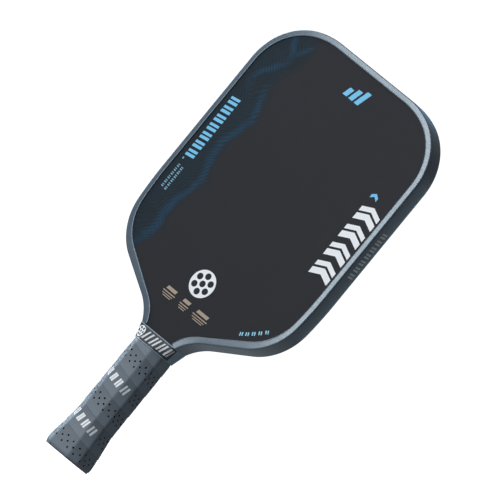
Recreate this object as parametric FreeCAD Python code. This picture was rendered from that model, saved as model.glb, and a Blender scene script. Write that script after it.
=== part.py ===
"""Pickleball paddle: a laminated foam-core head with an edge guard, and an octagonal wrapped handle.

Frame, in millimetres: the origin is the centre of the butt's end, +Z runs up the handle to the top of
the head, +X is to the right seen from the front, and the front face looks along -Y.
"""
import FreeCAD, Part

import math
import os

Vector = FreeCAD.Vector

# ---- Whole paddle ----
LENGTH = 406.4
WIDTH = 204.8

# ---- Head laminate, through the thickness ----
CORE = 16.0
FILM = 0.10
GLASS_PLY = 0.15
CROSS_PLY = 0.20
FACE_SHEET = 0.25
FACE_TO_FACE = CORE + 2 * (FILM + GLASS_PLY + CROSS_PLY + FACE_SHEET)

# ---- Edge guard ----
GUARD_WALL = 1.2
GUARD_TAPE = 0.3
LIP_HEIGHT = 1.25
GUARD_THICKNESS = FACE_TO_FACE + 2 * LIP_HEIGHT
GUARD_ROUNDING = 0.6
GUARD_END_Z = 123.6

# ---- Outlines, seen from the front: half of each, from the top centre down to the neck ----
# A pair is an arc's radius and its turn in degrees.
HEAD = dict(half_width=WIDTH / 2, top=LENGTH, crown=(75, 20), corner=(53, 70), side_end=236.4,
            ease=(320, 6), shoulder=(54, 56), slope=37, throat=(46, 36))
LIP_OPENING = dict(half_width=97.5, top=401.7, crown=(70.5, 20), corner=(48.6, 70), side_end=238.4,
                   ease=(320, 6), shoulder=(47, 54), slope=50, throat=(28, 42))
NECK_RUN = 12

# ---- Core pieces: how far each lies inside the head's outline, and where it ends at the throat ----
LAMINATE_INSET = GUARD_WALL + GUARD_TAPE
RING_INSET = 4
BLOCK_INSET = 14
RING_END_Z = 140
BLOCK_END_Z = 150

# ---- Handle tongue: the laminate's narrow strip inside the handle ----
TONGUE_WIDTH = 19
TONGUE_TOP_Z = 111
TONGUE_END_Z = 3.4

# ---- Handle form under the tape: width along X, depth along Y, a corner's leg along X ----
BUTT = (35.6, 32.4, 7.5)
GRIP = (28.9, 27.3, 7.3)
RAMP_END = (27.0, 18.4, 2.0)
FLARE_START_Z = 8
FLARE_END_Z = 38
COLLAR_START_Z = 113
RAMP_END_Z = 121.5
FORM = [(0, *BUTT), (FLARE_START_Z, *BUTT), (FLARE_END_Z, *GRIP), (COLLAR_START_Z, *GRIP),
        (RAMP_END_Z, *RAMP_END)]
# A corner's leg along Y against its leg along X, and how much the leg along X grows with the form.
CORNER_RATIO = 0.8
LEG_GROWTH = 1 - (math.hypot(1, CORNER_RATIO) - 1) / CORNER_RATIO

# ---- Butt cap ----
CAP_FLOOR = 3.0
CAP_WALL = 1.2
CAP_FLANGE = 1.0
CAP_FLANGE_GROWTH = 1.0
PLATE_SIZE = (24, 24, 7)
PLATE_THICKNESS = 0.6
PLATE_RECESS = 0.8

# ---- Grip ----
BASE_TAPE = 0.25
WRAP = 1.95
WRAP_END_Z = 118
FINISHING_TAPE = 0.15
FINISHING_TAPE_START_Z = 115

# ---- Staple: crown on the cap's back face, two legs into the cap ----
STAPLE_Z = 6
STAPLE_WIDTH = 8
STAPLE_WIRE = 0.6
STAPLE_LEG = 2.5

# ---- Collar: outer size at its lower and upper end ----
COLLAR_END_Z = 126.3
COLLAR_WALL = 0.7
COLLAR_LOW = (34.8, 33.2, 9.2)
COLLAR_HIGH = (43.0, 21.7, 1.6)


def direction(heading):
    """Unit vector in the face's plane, heading in degrees anticlockwise from +X seen from the front."""
    angle = math.radians(heading)
    return Vector(math.cos(angle), 0, math.sin(angle))


def straight(start, heading, length):
    """A straight edge and the point where it ends."""
    end = start + direction(heading) * length
    return Part.LineSegment(start, end).toShape(), end


def bend(start, heading, radius, turn):
    """A tangent arc, its end and its end heading. A positive turn is clockwise seen from the front."""
    side = math.copysign(1, turn)
    centre = start + direction(heading - 90 * side) * radius
    outward = heading + 90 * side
    middle = centre + direction(outward - turn / 2) * radius
    end = centre + direction(outward - turn) * radius
    return Part.Arc(start, middle, end).toShape(), end, heading - turn


def half_outline(outline, inset):
    """Edges of an outline's right half, moved inwards by inset, with the last point and heading."""
    crown_radius, crown_turn = outline["crown"]
    corner_radius, corner_turn = outline["corner"]
    crown_sine = math.sin(math.radians(crown_turn))
    flat = outline["half_width"] - crown_radius * crown_sine - corner_radius * (1 - crown_sine)
    point = Vector(0, 0, outline["top"] - inset)
    edge, point = straight(point, 0, flat)
    edges = [edge]
    edge, point, heading = bend(point, 0, crown_radius - inset, crown_turn)
    edges.append(edge)
    edge, point, heading = bend(point, heading, corner_radius - inset, corner_turn)
    edges.append(edge)
    edge, point = straight(point, heading, point.z - outline["side_end"])
    edges.append(edge)
    for name in ("ease", "shoulder"):
        radius, turn = outline[name]
        edge, point, heading = bend(point, heading, radius - inset, turn)
        edges.append(edge)
    edge, point = straight(point, heading, outline["slope"])
    edges.append(edge)
    radius, turn = outline["throat"]
    edge, point, heading = bend(point, heading, radius + inset, -turn)
    edges.append(edge)
    return edges, point, heading


def plate(right_edges, last_point, thickness):
    """A flat plate, centred on the XZ plane, from the right half of its outline."""
    left_edges = [edge.mirror(Vector(), Vector(1, 0, 0)) for edge in right_edges]
    base = Part.LineSegment(last_point, Vector(-last_point.x, 0, last_point.z)).toShape()
    ordered = Part.sortEdges(right_edges + left_edges + [base])[0]
    face = Part.Face(Part.Wire(ordered))
    return face.extrude(Vector(0, thickness, 0)).translated(Vector(0, -thickness / 2, 0))


def head_plate(outline, inset, thickness):
    """The head's outline as a plate that runs a little way down the neck."""
    edges, point, heading = half_outline(outline, inset)
    edge, point = straight(point, heading, NECK_RUN)
    return plate(edges + [edge], point, thickness)


def laminate_plate(thickness):
    """The laminate's outline as a plate: the head, the neck and the tongue inside the handle."""
    edges, point, heading = half_outline(HEAD, LAMINATE_INSET)
    for corner in (Vector(TONGUE_WIDTH / 2, 0, TONGUE_TOP_Z), Vector(TONGUE_WIDTH / 2, 0, TONGUE_END_Z)):
        edges.append(Part.LineSegment(point, corner).toShape())
        point = corner
    return plate(edges, point, thickness)


def above(shape, height):
    """The part of a shape above a height."""
    return shape.cut(Part.makeBox(2 * WIDTH, 2 * WIDTH, height + LENGTH, Vector(-WIDTH, -WIDTH, -LENGTH)))


def below(shape, height):
    """The part of a shape below a height."""
    return shape.cut(Part.makeBox(2 * WIDTH, 2 * WIDTH, LENGTH, Vector(-WIDTH, -WIDTH, height)))


def one_solid(shape):
    """The single solid that a boolean result holds."""
    solids = shape.removeSplitter().Solids
    if len(solids) != 1:
        raise ValueError(f"expected one solid, found {len(solids)}")
    return solids[0]


def octagon(height, size):
    """The corners of an octagon at a height: a rectangle with its corners cut off."""
    width, depth, leg = size
    x, y = width / 2, depth / 2
    cut_x, cut_y = x - leg, y - leg * CORNER_RATIO
    corners = [(x, cut_y), (cut_x, y), (-cut_x, y), (-x, cut_y),
               (-x, -cut_y), (-cut_x, -y), (cut_x, -y), (x, -cut_y)]
    return [Vector(px, py, height) for px, py in corners]


def frustum(low, high):
    """The flat-sided solid between two octagons, each given as a height and a size."""
    bottom, top = octagon(*low), octagon(*high)
    rings = [bottom, top]
    for index in range(len(bottom)):
        following = (index + 1) % len(bottom)
        rings.append([bottom[index], bottom[following], top[following], top[index]])
    faces = [Part.Face(Part.makePolygon(ring + ring[:1])) for ring in rings]
    return Part.Solid(Part.makeShell(faces))


def grown(size, growth):
    """An octagon's width, depth and leg after every side moves outwards by growth."""
    width, depth, leg = size
    return width + 2 * growth, depth + 2 * growth, leg + LEG_GROWTH * growth


def between(low, high, height):
    """The octagon size at a height on the straight run between two stations of the handle's form."""
    share = (height - low[0]) / (high[0] - low[0])
    return tuple(a + share * (b - a) for a, b in zip(low[1:], high[1:]))


def handle_form(start, end, growth):
    """The handle's octagonal form from one height to another, grown outwards."""
    pieces = []
    for low, high in zip(FORM, FORM[1:]):
        bottom, top = max(start, low[0]), min(end, high[0])
        if bottom < top:
            ends = [(z, grown(between(low, high, z), growth)) for z in (bottom, top)]
            pieces.append(frustum(*ends))
    return pieces[0].multiFuse(pieces[1:]) if len(pieces) > 1 else pieces[0]


def handle_sleeve(start, end, inner, thickness):
    """A sleeve of even thickness around the handle's form."""
    return handle_form(start, end, inner + thickness).cut(handle_form(start, end, inner))


def octagon_prism(start, end, size):
    """A straight octagonal block."""
    return frustum((start, size), (end, size))


def core_pieces():
    """The foam core: a centre block, a soft ring, a dense perimeter band and the handle's spine."""
    whole = laminate_plate(CORE)
    ring_field = above(head_plate(HEAD, RING_INSET, CORE), RING_END_Z)
    block = above(head_plate(HEAD, BLOCK_INSET, CORE), BLOCK_END_Z)
    return {
        "core_foam_block": block,
        "core_foam_ring": ring_field.cut(block),
        "core_perimeter_band": above(whole, RING_END_Z).cut(ring_field),
        "handle_spine": below(whole, RING_END_Z),
    }


def laminate_layers():
    """The films, plies and face sheets, in order outwards from the core, on both sides."""
    pieces = {}
    inner = CORE / 2
    for name, thickness in (("adhesive_film", FILM), ("glass_ply", GLASS_PLY),
                            ("cross_ply", CROSS_PLY), ("face_sheet", FACE_SHEET)):
        layer = laminate_plate(thickness)
        middle = inner + thickness / 2
        pieces[f"front_{name}"] = layer.translated(Vector(0, -middle, 0))
        pieces[f"back_{name}"] = layer.translated(Vector(0, middle, 0))
        inner += thickness
    return pieces


def edge_guard():
    """The U-channel: a wall around the head and a flat lip over the rim of each face."""
    blank = above(head_plate(HEAD, 0, GUARD_THICKNESS), GUARD_END_Z)
    rims = [edge for edge in blank.Edges
            if edge.BoundBox.YLength < 1e-6 and edge.CenterOfMass.z > GUARD_END_Z + 1e-3]
    rounded = blank.makeFillet(GUARD_ROUNDING, rims)
    channel = rounded.cut(head_plate(HEAD, GUARD_WALL, FACE_TO_FACE))
    return channel.cut(head_plate(LIP_OPENING, 0, 2 * GUARD_THICKNESS))


def edge_guard_tape():
    """The adhesive strip between the guard's wall and the laminate's rim."""
    strip = head_plate(HEAD, GUARD_WALL, FACE_TO_FACE)
    return above(strip.cut(laminate_plate(2 * FACE_TO_FACE)), GUARD_END_Z)


def handle_pallets():
    """Two half shells that make the handle's octagon around the tongue, ramped down to the face."""
    fitted = octagon_prism(CAP_FLOOR, FLARE_END_Z, grown(GRIP, -CAP_WALL))
    body = fitted.fuse(handle_form(FLARE_END_Z, RAMP_END_Z, 0))
    body = body.cut(laminate_plate(FACE_TO_FACE))
    front_half = Part.makeBox(WIDTH, WIDTH, LENGTH, Vector(-WIDTH / 2, -WIDTH, 0))
    return {
        "front_handle_pallet": body.common(front_half),
        "back_handle_pallet": body.cut(front_half),
    }


def staple():
    """The staple: its crown lies on the cap's back face and its legs stand in the cap's wall."""
    face_y = BUTT[1] / 2
    crown = Part.makeBox(STAPLE_WIDTH, STAPLE_WIRE, STAPLE_WIRE,
                         Vector(-STAPLE_WIDTH / 2, face_y, STAPLE_Z))
    legs = [Part.makeBox(STAPLE_WIRE, STAPLE_LEG, STAPLE_WIRE, Vector(x, face_y - STAPLE_LEG, STAPLE_Z))
            for x in (-STAPLE_WIDTH / 2, STAPLE_WIDTH / 2 - STAPLE_WIRE)]
    return crown.multiFuse(legs)


def butt_pieces():
    """The flared butt cap with its flange, and the thin plate in the recess of its floor."""
    flange = octagon_prism(0, CAP_FLANGE, grown(BUTT, CAP_FLANGE_GROWTH))
    cap = handle_form(0, FLARE_END_Z, 0).fuse(flange)
    cap = cap.cut(octagon_prism(CAP_FLOOR, LENGTH, grown(GRIP, -CAP_WALL)))
    cap = cap.cut(octagon_prism(-PLATE_RECESS, PLATE_RECESS, PLATE_SIZE))
    end_plate = octagon_prism(PLATE_RECESS - PLATE_THICKNESS, PLATE_RECESS, PLATE_SIZE)
    return {"butt_cap": cap.cut(staple()), "butt_end_plate": end_plate}


def grip_pieces():
    """The tape under the wrap, the wrap, the staple and the tape that holds the wrap's top end."""
    base_tape = handle_sleeve(CAP_FLANGE, COLLAR_START_Z, 0, BASE_TAPE)
    wrap = handle_form(CAP_FLANGE, WRAP_END_Z, BASE_TAPE + WRAP)
    wrap = wrap.cut(handle_form(CAP_FLANGE, COLLAR_START_Z, BASE_TAPE))
    wrap = wrap.cut(handle_form(COLLAR_START_Z, WRAP_END_Z, 0))
    wrap = wrap.cut(laminate_plate(FACE_TO_FACE))
    return {
        "grip_base_tape": base_tape.cut(staple()),
        "grip_staple": staple(),
        "grip_wrap": wrap.cut(staple()),
        "finishing_tape": handle_sleeve(FINISHING_TAPE_START_Z, WRAP_END_Z, BASE_TAPE + WRAP,
                                        FINISHING_TAPE),
    }


def rubber_collar(inside):
    """The stretched band from the grip's octagon up to the flat neck, clear of what it covers."""
    def band(growth):
        return frustum((COLLAR_START_Z, grown(COLLAR_LOW, growth)),
                       (COLLAR_END_Z, grown(COLLAR_HIGH, growth)))

    collar = band(0).cut(band(-COLLAR_WALL))
    for piece in inside:
        collar = collar.cut(piece)
    return collar


def build():
    """Every piece of the paddle, by node name."""
    pieces = {}
    pieces.update(core_pieces())
    pieces.update(laminate_layers())
    pieces["edge_guard"] = edge_guard()
    pieces["edge_guard_tape"] = edge_guard_tape()
    pieces.update(handle_pallets())
    pieces.update(butt_pieces())
    pieces.update(grip_pieces())
    covered = [pieces["edge_guard"], pieces["finishing_tape"], laminate_plate(FACE_TO_FACE)]
    pieces["rubber_collar"] = rubber_collar(covered)
    return {name: one_solid(shape) for name, shape in pieces.items()}


os.makedirs("parts", exist_ok=True)
for node, solid in build().items():
    solid.exportStep(f"parts/{node}.step")
    box = solid.BoundBox
    print(f"{node:22s} {solid.Volume:10.0f} mm3  x {box.XMin:.2f}..{box.XMax:.2f}"
          f"  y {box.YMin:.2f}..{box.YMax:.2f}  z {box.ZMin:.2f}..{box.ZMax:.2f}  valid {solid.isValid()}")
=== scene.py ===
"""Looks of the pickleball paddle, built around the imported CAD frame.

Lengths below are in millimetres unless a name says otherwise, and MM turns them into metres. The frame
is the CAD's: the butt's end at the origin, +Z up to the head's top, the front face towards -Y.
"""
from math import acos, atan2, copysign, cos, floor, hypot, pi, radians, sin, sqrt, tan

import bmesh
import bpy
import numpy as np
from mathutils import Matrix, Vector
from mathutils.geometry import delaunay_2d_cdt
from numpy.linalg import norm

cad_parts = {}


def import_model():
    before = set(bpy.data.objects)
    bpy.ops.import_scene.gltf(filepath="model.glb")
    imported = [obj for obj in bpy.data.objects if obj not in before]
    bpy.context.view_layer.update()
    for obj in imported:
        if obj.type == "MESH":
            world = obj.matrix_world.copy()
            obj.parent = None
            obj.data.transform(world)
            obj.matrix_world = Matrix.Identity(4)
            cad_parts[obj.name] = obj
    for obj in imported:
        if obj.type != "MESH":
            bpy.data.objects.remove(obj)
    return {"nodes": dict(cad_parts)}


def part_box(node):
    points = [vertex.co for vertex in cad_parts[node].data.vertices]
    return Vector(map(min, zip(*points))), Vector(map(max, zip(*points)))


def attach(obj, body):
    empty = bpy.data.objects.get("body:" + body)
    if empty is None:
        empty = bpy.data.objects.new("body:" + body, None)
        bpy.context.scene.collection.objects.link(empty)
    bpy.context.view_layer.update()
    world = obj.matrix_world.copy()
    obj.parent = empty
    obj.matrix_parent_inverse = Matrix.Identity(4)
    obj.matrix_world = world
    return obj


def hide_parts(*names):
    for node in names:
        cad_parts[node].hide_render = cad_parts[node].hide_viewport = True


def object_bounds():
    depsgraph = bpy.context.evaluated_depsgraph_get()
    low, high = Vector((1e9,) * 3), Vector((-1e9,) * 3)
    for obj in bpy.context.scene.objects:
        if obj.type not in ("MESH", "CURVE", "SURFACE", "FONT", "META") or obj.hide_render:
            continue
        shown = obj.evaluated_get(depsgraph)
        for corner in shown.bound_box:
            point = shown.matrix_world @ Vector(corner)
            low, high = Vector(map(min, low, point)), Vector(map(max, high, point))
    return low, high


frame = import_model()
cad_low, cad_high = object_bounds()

MM = 0.001
TURN = 2 * pi

# ---- The paddle's driving sizes: as in the CAD, but the lip's opening is slightly smaller ----
WIDTH = (cad_high.x - cad_low.x) / MM
LENGTH = (cad_high.z - cad_low.z) / MM
FACE_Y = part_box("back_face_sheet")[1].y / MM
GUARD_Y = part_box("edge_guard")[1].y / MM
GUARD_WALL = 1.2
GUARD_END_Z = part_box("edge_guard")[0].z / MM
HEAD = dict(half_width=WIDTH / 2, top=LENGTH, crown=(75, 20), corner=(53, 70), side_end=236.4,
            ease=(320, 6), shoulder=(54, 56), slope=37, throat=(46, 36))
LIP_OPENING = dict(half_width=97.35, top=401.0, crown=(70.5, 20), corner=(48.6, 70), side_end=238.4,
                   ease=(320, 6), shoulder=(47, 54), slope=50, throat=(28, 42))
NECK_RUN = 12

# ---- Handle sections under the tape: width along X, depth along Y, a corner's leg along X ----
BUTT = (35.6, 32.4, 7.5)
GRIP = (28.9, 27.3, 7.3)
RAMP_AT_WRAP_END = (27.8, 22.1, 4.2)
BASE_TAPE = 0.25
WRAP_OUTER = 2.2
CORNER_RATIO = 0.8
LEG_GROWTH = 1 - (hypot(1, CORNER_RATIO) - 1) / CORNER_RATIO
FLARE_START_Z = 6
FLARE_END_Z = 39
COLLAR_START_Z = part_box("rubber_collar")[0].z / MM
COLLAR_END_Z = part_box("rubber_collar")[1].z / MM
WRAP_END_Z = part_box("grip_wrap")[1].z / MM
WRAP_START_Z = 0.9
COLLAR_LOW = (34.8, 33.2, 9.2)
COLLAR_HIGH = (43.0, 21.7, 1.6)
COLLAR_WALL = 0.7

# ---- Grip tape: one strip wound down the handle from the collar ----
COLUMNS = 160
TAPE_PITCH = 21.4
FIRST_SEAM_Z = 145.1
SEAM_TILT = 1.3
SEAM_TILT_COLUMN = 171.3
ROW_STEP = 0.72
EDGE_ROWS = (20.6, 20.9, 21.16, 21.34)
TAPE_ROWS = [ROW_STEP * j for j in range(29)] + list(EDGE_ROWS)

# ---- Ink colours, linear ----
# grey is the white ink darkened as painted shade, for the tape's last bars on the facet turned from the
# light.
INKS = {"white": (0.90, 0.91, 0.93, 1), "blue": (0.17, 0.55, 0.86, 1),
        "pale_blue": (0.20, 0.42, 0.55, 1), "cyan": (0.32, 0.70, 0.88, 1),
        "beige": (0.40, 0.31, 0.23, 1), "grey": (0.70, 0.75, 0.79, 1),
        "silver": (0.68, 0.70, 0.73, 1), "line": (0.28, 0.31, 0.35, 1)}

scene = bpy.context.scene


# ======== Mesh helpers ========

def linked(name, data):
    """A new object in the scene."""
    obj = bpy.data.objects.new(name, data)
    scene.collection.objects.link(obj)
    return obj


def new_object(name, vertices, faces, materials, smooth_angle=35):
    """A mesh object from millimetre vertices, with outward normals and soft shading below an angle."""
    mesh = bpy.data.meshes.new(name)
    mesh.from_pydata([tuple(c * MM for c in v) for v in vertices], [], faces)
    for material in materials:
        mesh.materials.append(material)
    work = bmesh.new()
    work.from_mesh(mesh)
    bmesh.ops.recalc_face_normals(work, faces=work.faces)
    work.to_mesh(mesh)
    work.free()
    mesh.polygons.foreach_set("use_smooth", [True] * len(mesh.polygons))
    mesh.set_sharp_from_angle(angle=radians(smooth_angle))
    mesh.update()
    return linked(name, mesh)


def joined(parts):
    """Vertices and faces of several (vertices, faces) parts as one."""
    vertices, faces = [], []
    for part_vertices, part_faces in parts:
        start = len(vertices)
        vertices.extend(part_vertices)
        faces.extend([tuple(index + start for index in face) for face in part_faces])
    return vertices, faces


def slab(outline, holes, place, low, high):
    """A thin closed plate from a flat outline with holes. place(a, b, lift) gives a point."""
    points, edges = [], []
    for loop in [outline] + holes:
        start = len(points)
        points.extend(Vector(p) for p in loop)
        edges.extend((start + i, start + (i + 1) % len(loop)) for i in range(len(loop)))
    flat, _, triangles, *_ = delaunay_2d_cdt(points, edges, [], 1, 1e-6)
    kept = [t for t in triangles if not in_any(holes, sum((flat[i] for i in t), Vector((0, 0))) / 3)]
    count = len(flat)
    vertices = [place(p.x, p.y, high) for p in flat] + [place(p.x, p.y, low) for p in flat]
    faces = [tuple(t) for t in kept] + [tuple(i + count for i in reversed(t)) for t in kept]
    for a, b in boundary(kept):
        faces.append((a, b, b + count, a + count))
    return vertices, faces


def in_any(loops, point):
    """True if a flat point lies in one of the loops."""
    for loop in loops:
        crossings = sum((ay > point.y) != (by > point.y)
                        and point.x < (bx - ax) * (point.y - ay) / (by - ay) + ax
                        for (ax, ay), (bx, by) in zip(loop, loop[1:] + loop[:1]))
        if crossings % 2:
            return True
    return False


def boundary(triangles):
    """Directed edges that only one triangle has."""
    edges = {(t[i], t[(i + 1) % 3]) for t in triangles for i in range(3)}
    return [(b, a) for a, b in edges if (b, a) not in edges]


def patch(place, corners, low, high, across, along):
    """A thin closed patch on a curved surface, between four corners given in its own coordinates."""
    low_left, low_right, high_right, high_left = np.array(corners, dtype=float)
    vertices = []
    for lift in (high, low):
        for j in range(along + 1):
            left = low_left + (high_left - low_left) * (j / along)
            right = low_right + (high_right - low_right) * (j / along)
            for i in range(across + 1):
                vertices.append(place(*(left + (right - left) * (i / across)), lift))
    row, count = across + 1, (across + 1) * (along + 1)
    faces = []
    for j in range(along):
        for i in range(across):
            k = j * row + i
            faces.append((k, k + 1, k + row + 1, k + row))
            faces.append((k + count, k + row + count, k + row + 1 + count, k + 1 + count))
    rim = [*range(across + 1), *(j * row + across for j in range(1, along + 1)),
           *(along * row + i for i in range(across - 1, -1, -1)),
           *(j * row for j in range(along - 1, 0, -1))]
    for a, b in zip(rim, rim[1:] + rim[:1]):
        faces.append((a, a + count, b + count, b))
    return vertices, faces


def piece(obj, replaced=()):
    """Rides a new piece on the paddle, and hides the CAD nodes that it stands for."""
    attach(obj, "root")
    if replaced:
        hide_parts(*replaced)


def mark(name, parts, material, smooth_angle=40):
    """Makes one piece of several printed or raised parts."""
    piece(new_object(name, *joined(parts), [material], smooth_angle))


# ======== Materials ========

class Nodes:
    """Short ways to add nodes to a node tree."""

    def __init__(self, tree):
        self.tree = tree

    def node(self, kind, sockets=None, **settings):
        """A new node with its settings, and values for some of its input sockets."""
        made = self.tree.nodes.new("ShaderNode" + kind)
        for key, value in settings.items():
            setattr(made, key, value)
        for name, value in (sockets or {}).items():
            made.inputs[name].default_value = value
        return made

    def link(self, source, target):
        self.tree.links.new(source, target)


class Shader(Nodes):
    """A Principled material and short ways to add patterns to it."""

    def __init__(self, name, colour, roughness, **sockets):
        self.material = bpy.data.materials.new(name)
        self.material.use_nodes = True
        super().__init__(self.material.node_tree)
        self.bsdf = self.tree.nodes["Principled BSDF"]
        self.bsdf.inputs["Base Color"].default_value = colour
        self.bsdf.inputs["Roughness"].default_value = roughness
        for socket, value in sockets.items():
            self.bsdf.inputs[socket.replace("_", " ")].default_value = value
        self.place = self.node("TexCoord").outputs["Object"]

    def scaled(self, scale):
        """Object coordinates stretched by a scale for each axis."""
        mapping = self.node("Mapping", {"Scale": scale})
        self.link(self.place, mapping.inputs["Vector"])
        return mapping.outputs["Vector"]

    def texture(self, kind, output, sockets, vector=None, **settings):
        """A texture's output, placed by object coordinates unless a vector is given."""
        made = self.node("Tex" + kind, sockets, **settings)
        self.link(vector or self.place, made.inputs["Vector"])
        return made.outputs[output]

    def noise(self, scale, detail=2.0, vector=None, roughness=0.5, distortion=0.0):
        sockets = {"Scale": scale, "Detail": detail, "Roughness": roughness, "Distortion": distortion}
        return self.texture("Noise", "Fac", sockets, vector)

    def cells(self, scale):
        return self.texture("Voronoi", "Distance", {"Scale": scale})

    def waves(self, scale, direction, distortion=0.0):
        sockets = {"Scale": scale, "Distortion": distortion, "Detail": 0.0}
        return self.texture("Wave", "Fac", sockets, bands_direction=direction)

    def math(self, operation, a, b=None, clamp=False):
        made = self.node("Math", operation=operation, use_clamp=clamp)
        for value, socket in zip((a, b), made.inputs):
            if isinstance(value, (int, float)):
                socket.default_value = value
            elif value is not None:
                self.link(value, socket)
        return made.outputs["Value"]

    def times(self, a, b):
        return self.math("MULTIPLY", a, b)

    def plus(self, a, b, clamp=False):
        return self.math("ADD", a, b, clamp)

    def minus(self, a, b):
        return self.math("SUBTRACT", a, b)

    def larger(self, a, b):
        return self.math("MAXIMUM", a, b)

    def ramp(self, factor, low, high, start=0.0, end=1.0):
        """A factor's range from start to end turned into the range from low to high."""
        sockets = {"From Min": start, "From Max": end, "To Min": low, "To Max": high}
        made = self.node("MapRange", sockets, interpolation_type="SMOOTHSTEP")
        self.link(factor, made.inputs["Value"])
        return made.outputs["Result"]

    def mixed(self, factor, first, second):
        """A colour between two, by a factor."""
        made = self.node("Mix", data_type="RGBA")
        self.link(factor, made.inputs[0])
        for value, socket in ((first, made.inputs[6]), (second, made.inputs[7])):
            if isinstance(value, tuple):
                socket.default_value = value
            else:
                self.link(value, socket)
        return made.outputs[2]

    def tinted(self, colour, factor):
        """A colour made lighter or darker by a factor."""
        made = self.node("VectorMath", operation="SCALE")
        self.link(colour, made.inputs[0])
        self.link(factor, made.inputs["Scale"])
        return made.outputs["Vector"]

    def colour(self, source):
        self.link(source, self.bsdf.inputs["Base Color"])

    def mottle(self, factor, base, low, high):
        """Colours the surface with a base made lighter or darker by a factor."""
        self.colour(self.mixed(factor, shade(base, low), shade(base, high)))

    def rough(self, source):
        self.link(source, self.bsdf.inputs["Roughness"])

    def bump(self, *layers):
        """Bumps from (height, strength, distance in mm) layers, the coarse ones first."""
        previous = None
        for height, strength, distance in layers:
            made = self.node("Bump", {"Strength": strength, "Distance": distance * MM})
            self.link(height, made.inputs["Height"])
            if previous:
                self.link(previous, made.inputs["Normal"])
            previous = made.outputs["Normal"]
        self.link(previous, self.bsdf.inputs["Normal"])


def shade(colour, share):
    """A colour made lighter or darker."""
    return tuple(c * share for c in colour[:3]) + (1,)


def face_material(name, side):
    """Raw carbon with a fine woven grain, and printed wave lines down one side strip."""
    base = (0.0160, 0.0169, 0.0214, 1)
    s = Shader(name, base, 0.62, Specular_IOR_Level=0.20)
    grain = s.noise(650, 3)
    mottling = s.noise(18, 2)
    weave = s.times(s.waves(520, "X"), s.waves(520, "Z"))
    ground = s.mixed(grain, shade(base, 0.80), shade(base, 1.22))
    ground = s.mixed(s.ramp(mottling, 0, 0.35, 0.3, 0.7), ground, shade(base, 1.12))
    amount, light = wave_print(s, side)
    ink = s.mixed(light, (0.0066, 0.0146, 0.0218, 1), (0.0056, 0.0460, 0.0940, 1))
    s.colour(s.mixed(amount, ground, ink))
    s.rough(s.ramp(grain, 0.52, 0.70))
    s.bump((mottling, 0.10, 0.05), (weave, 0.22, 0.03), (grain, 0.25, 0.03))
    return s.material


# Lines of the wave print, as (middle across the face, reach, height of a peak, length of a wave).
PRINT_EDGE = (-60.6, 4.2, 245, 66)
LOW_CREST = (-66.8, 4.6, 245, 66)
HIGH_CREST = (-80.5, 8.0, 369.5, 62)
HATCH_BEND = 60.0


def wave_print(s, side):
    """How much wave ink there is, and how bright it is. side is 1 for the front and -1 for the back."""
    split = s.node("SeparateXYZ")
    s.link(s.place, split.inputs["Vector"])
    across = s.times(split.outputs["X"], side / MM)
    up = s.times(split.outputs["Z"], 1 / MM)
    slow = s.times(s.minus(s.noise(26, 1), 0.5), 10.0)
    quick = s.times(s.minus(s.noise(95, 3), 0.5), 7.0)
    place = s.plus(s.plus(across, slow), quick)
    edge = swing(s, up, *PRINT_EDGE)
    lean = s.times(s.ramp(up, 1, 0, 168, 206), 12.5)
    strip = s.ramp(s.plus(s.minus(place, edge), lean), 1, 0, -7.0, 2.5)
    low_line = s.minus(swing(s, up, *LOW_CREST), lean)
    high_line = swing(s, up, *HIGH_CREST)
    branch = s.plus(s.times(up, 0.62), -303.0)
    low = s.times(crest(s, place, low_line, 8.0), s.ramp(up, 1, 0, 322, 350))
    high = s.times(crest(s, place, high_line, 5.5), s.ramp(up, 0, 1, 322, 352))
    twig = s.times(crest(s, place, branch, 5.0), s.ramp(up, 0, 0.8, 362, 378))
    crests = s.larger(s.larger(low, high), twig)
    fade = s.ramp(s.noise(38, 2), 0.35, 1, 0.36, 0.60)
    field = s.noise(24, 1)
    rising = s.times(hatch(s, across, up, (0.80, 0.60), 2.3, 26), s.ramp(field, 1, 0, 0.46, 0.60))
    falling = s.times(hatch(s, across, up, (0.72, -0.69), 2.7, 31), s.ramp(field, 0, 1, 0.40, 0.54))
    lines = s.larger(rising, falling)
    patches = s.ramp(s.noise(34, 2), 0.25, 1, 0.35, 0.62)
    weave = s.plus(s.times(lines, 0.55), 0.40)
    glow = s.times(s.times(crests, weave), fade)
    faint = s.times(s.times(lines, patches), 0.20)
    light = s.times(s.plus(glow, faint, clamp=True), strip)
    return strip, light


def swing(s, up, middle, reach, peak, length):
    """A line that swings about a middle: where it is across the face at a height."""
    turn_angle = s.times(s.minus(up, peak), TURN / length)
    return s.plus(s.times(s.math("COSINE", turn_angle), reach), middle)


def crest(s, place, line, width):
    """A soft ridge of the wave print about a line."""
    away = s.math("ABSOLUTE", s.minus(place, line))
    return s.ramp(away, 1, 0, 0, width)


def hatch(s, across, up, direction, pitch, bend_scale):
    """Fine parallel lines across a direction, bent by a slow noise."""
    along = s.plus(s.times(across, direction[0] * TURN / pitch),
                   s.times(up, direction[1] * TURN / pitch))
    bend = s.times(s.noise(bend_scale, 1), HATCH_BEND)
    return s.ramp(s.math("SINE", s.plus(along, bend)), 0, 1, -0.2, 0.9)


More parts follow.
